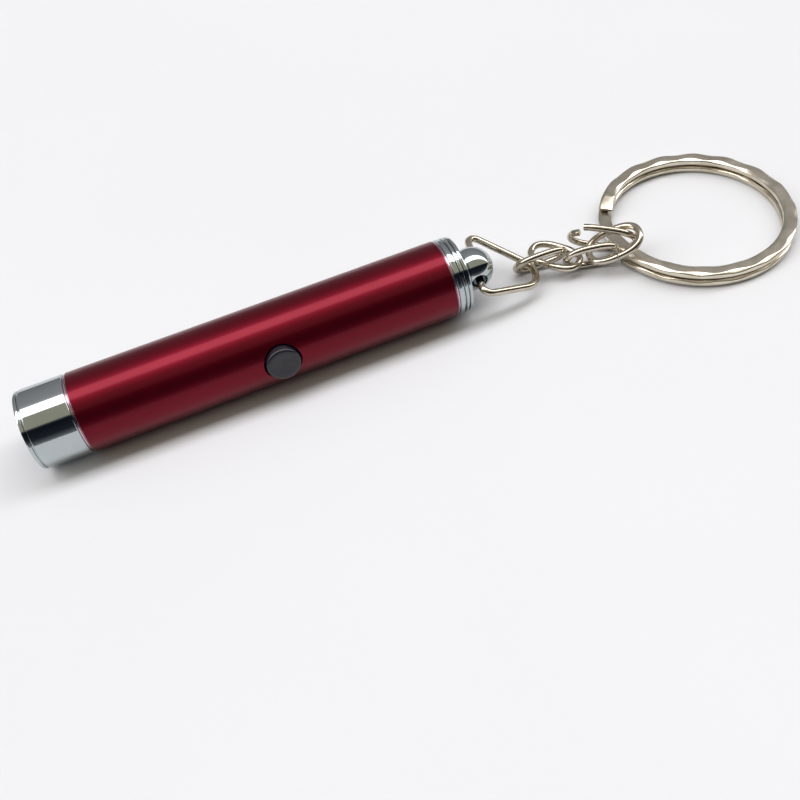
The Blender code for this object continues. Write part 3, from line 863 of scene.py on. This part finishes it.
def hammered_section(turn, height):
    """Outline of the strip at one angle, its edges bitten by the hammer; height is 1 if unground.

    Each bevel has a width along the strip's face, a height up its side, and a tuck that rounds
    the side in.
    """
    wave = turn * HAMMER_MARKS
    outer = 0.5 + 0.5 * math.sin(wave)
    inner = 0.5 + 0.5 * math.sin(wave + INNER_LEAD)
    dip = HAMMER_WAVE * (0.5 - 0.5 * math.cos(wave + TOP_LEAD))
    half_band, half_coil = RING_BAND / 2, RING_COIL / 2
    top = half_coil - (1.0 - height) * RING_COIL - dip * height
    side = (top - half_coil) / 2
    under_width, under_height, under_tuck = 0.40, 0.22, 0.10
    over_width, over_height, over_tuck = 0.30, 0.16, 0.06
    outline = [
        (-half_band + under_tuck, -half_coil + under_height * height),
        (-half_band + under_width, -half_coil),
        (half_band - under_width, -half_coil),
        (half_band - under_tuck, -half_coil + under_height * height),
        (half_band, side),
        (half_band - over_tuck, top - (over_height + HAMMER_DROP * outer) * height),
        (half_band - over_width - HAMMER_BITE * outer, top),
        (-half_band + over_width + HAMMER_BITE * inner, top),
        (-half_band + over_tuck, top - (over_height + HAMMER_DROP * inner) * height),
        (-half_band, side),
    ]
    return softened(outline, 0.16, closed=True)


def build_split_ring(materials):
    """The hammered strip, wound almost twice round."""
    first = RING_JOG_CENTRE + RING_END_HALF
    last = RING_JOG_CENTRE - RING_END_HALF + 2 * math.tau
    middle = RING_OUTER_RADIUS - RING_BAND / 2
    up = Vector((0.0, 0.0, 1.0))
    steps = 620
    sections = []
    for step in range(steps + 1):
        turn = first + (last - first) * step / steps
        out = Vector((math.cos(turn), math.sin(turn), 0.0))
        base = coil_height(turn)
        ground = min(1.0, (last - turn) / RING_TAPER, (turn - first) / RING_TAPER)
        height = RING_TIP + (1.0 - RING_TIP) * ground
        sections.append([out * (middle + x) + up * (base + z) for x, z in hammered_section(turn, height)])
    mesh = swept("hammered_ring", sections)
    rotation = (0.0, RING_TILT, 0.0)
    # The ring's finish is the nickel plate painted lighter, standing in for the light on its flat top faces.
    ring = add_piece("hammered_ring", mesh, materials["hammered_nickel_painted_light"], RING_CENTRE, rotation)
    settle(ring, "key_ring", "split_ring")


# ---- Nodes of the model that stay visible ----
def dress_nodes(materials):
    """Give each node that keeps its own shape a better material."""
    finishes = {
        "led_lead_positive": "steel",
        "led_lead_negative": "steel",
        "led_holder": "white_plastic",
        "circuit_board": "board",
        "resistor": "black_plastic",
        "board_cradle": "black_plastic",
        "switch_body": "black_plastic",
        "switch_plunger": "white_plastic",
        "contact_disc": "brass",
        "contact_spring": "steel",
        "battery_cell_1": "steel",
        "battery_cell_2": "steel",
        "battery_cell_3": "steel",
        "tail_spring": "steel",
    }
    for name, finish in finishes.items():
        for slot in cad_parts[name].material_slots:
            slot.material = materials[finish]


# ---- Studio ----
def room_angle(tree):
    """How far round X each direction lies, from 0 at the back through 0.5 overhead to 1 in front.

    Below the horizon it stays at the nearer end.
    """
    coords = add_node(tree, "ShaderNodeTexCoord")
    axes = add_node(tree, "ShaderNodeSeparateXYZ")
    tree.links.new(coords.outputs["Generated"], axes.inputs["Vector"])
    towards = add_node(tree, "ShaderNodeMath", operation="MULTIPLY")
    towards.inputs[1].default_value = -1.0
    tree.links.new(axes.outputs["Y"], towards.inputs[0])
    angle = add_node(tree, "ShaderNodeMath", operation="ARCTAN2")
    tree.links.new(towards.outputs["Value"], angle.inputs[0])
    tree.links.new(axes.outputs["Z"], angle.inputs[1])
    share = add_node(tree, "ShaderNodeMapRange")
    share.inputs["From Min"].default_value = -math.pi / 2
    share.inputs["From Max"].default_value = math.pi / 2
    tree.links.new(angle.outputs["Value"], share.inputs["Value"])
    return share.outputs["Result"]


def room_colour(tree, angle):
    """The room's bands, as a colour for each angle."""
    ramp = add_node(tree, "ShaderNodeValToRGB")
    elements = ramp.color_ramp.elements
    while len(elements) < len(STUDIO_BANDS):
        elements.new(1.0)
    for element, (degrees, brightness, colour) in zip(elements, STUDIO_BANDS):
        element.position = (degrees + 90.0) / 180.0
        element.color = (*(value * brightness / STUDIO_STRENGTH for value in colour), 1.0)
    tree.links.new(angle, ramp.inputs["Fac"])
    return ramp.outputs["Color"]


def build_room():
    """A soft room: a plain pale backdrop to the camera, and banded in light and reflections."""
    world = bpy.data.worlds.new("room")
    bpy.context.scene.world = world
    world.use_nodes = True
    tree = world.node_tree
    tree.nodes.clear()
    room = add_node(tree, "ShaderNodeBackground")
    room.inputs["Strength"].default_value = STUDIO_STRENGTH
    tree.links.new(room_colour(tree, room_angle(tree)), room.inputs["Color"])
    plain = add_node(tree, "ShaderNodeBackground")
    plain.inputs["Color"].default_value = BACKDROP
    seen = add_node(tree, "ShaderNodeLightPath")
    mix = add_node(tree, "ShaderNodeMixShader")
    tree.links.new(seen.outputs["Is Camera Ray"], mix.inputs["Fac"])
    tree.links.new(room.outputs["Background"], mix.inputs[1])
    tree.links.new(plain.outputs["Background"], mix.inputs[2])
    output = add_node(tree, "ShaderNodeOutputWorld")
    tree.links.new(mix.outputs["Shader"], output.inputs["Surface"])


def build_floor(material):
    """The pale table."""
    signs = ((-1, -1), (1, -1), (1, 1), (-1, 1))
    half = TABLE_HALF * MM
    bm = bmesh.new()
    bm.faces.new([bm.verts.new((x * half, y * half, 0.0)) for x, y in signs])
    mesh = bpy.data.meshes.new("table")
    bm.to_mesh(mesh)
    bm.free()
    mesh.materials.append(material)
    table = bpy.data.objects.new("table", mesh)
    bpy.context.scene.collection.objects.link(table)


def build_camera():
    """The camera, above and in front of the barrel, rolled a little."""
    data = bpy.data.cameras.new("camera")
    data.lens = CAMERA_LENS
    data.clip_start = CAMERA_CLIP * MM
    camera = bpy.data.objects.new("camera", data)
    turn = (CAMERA_AIM - CAMERA_PLACE).to_track_quat("-Z", "Y").to_matrix().to_4x4()
    place = Matrix.Translation(CAMERA_PLACE * MM)
    camera.matrix_world = place @ turn @ Matrix.Rotation(CAMERA_ROLL, 4, "Z")
    bpy.context.scene.collection.objects.link(camera)
    bpy.context.scene.camera = camera


def build():
    """Build the whole scene."""
    materials = make_materials()
    origin = axis_origin()
    build_camera()
    build_tube(origin, materials)
    build_button(origin, materials)
    build_head(origin, materials)
    build_lens(origin, materials)
    build_reflector(origin, materials)
    build_lamp(origin, materials)
    build_tail_cap(origin, materials)
    build_triangle(materials)
    build_links(materials)
    build_split_ring(materials)
    dress_nodes(materials)
    build_floor(materials["table"])
    build_room()
    bpy.context.scene.view_settings.view_transform = "Standard"


build()
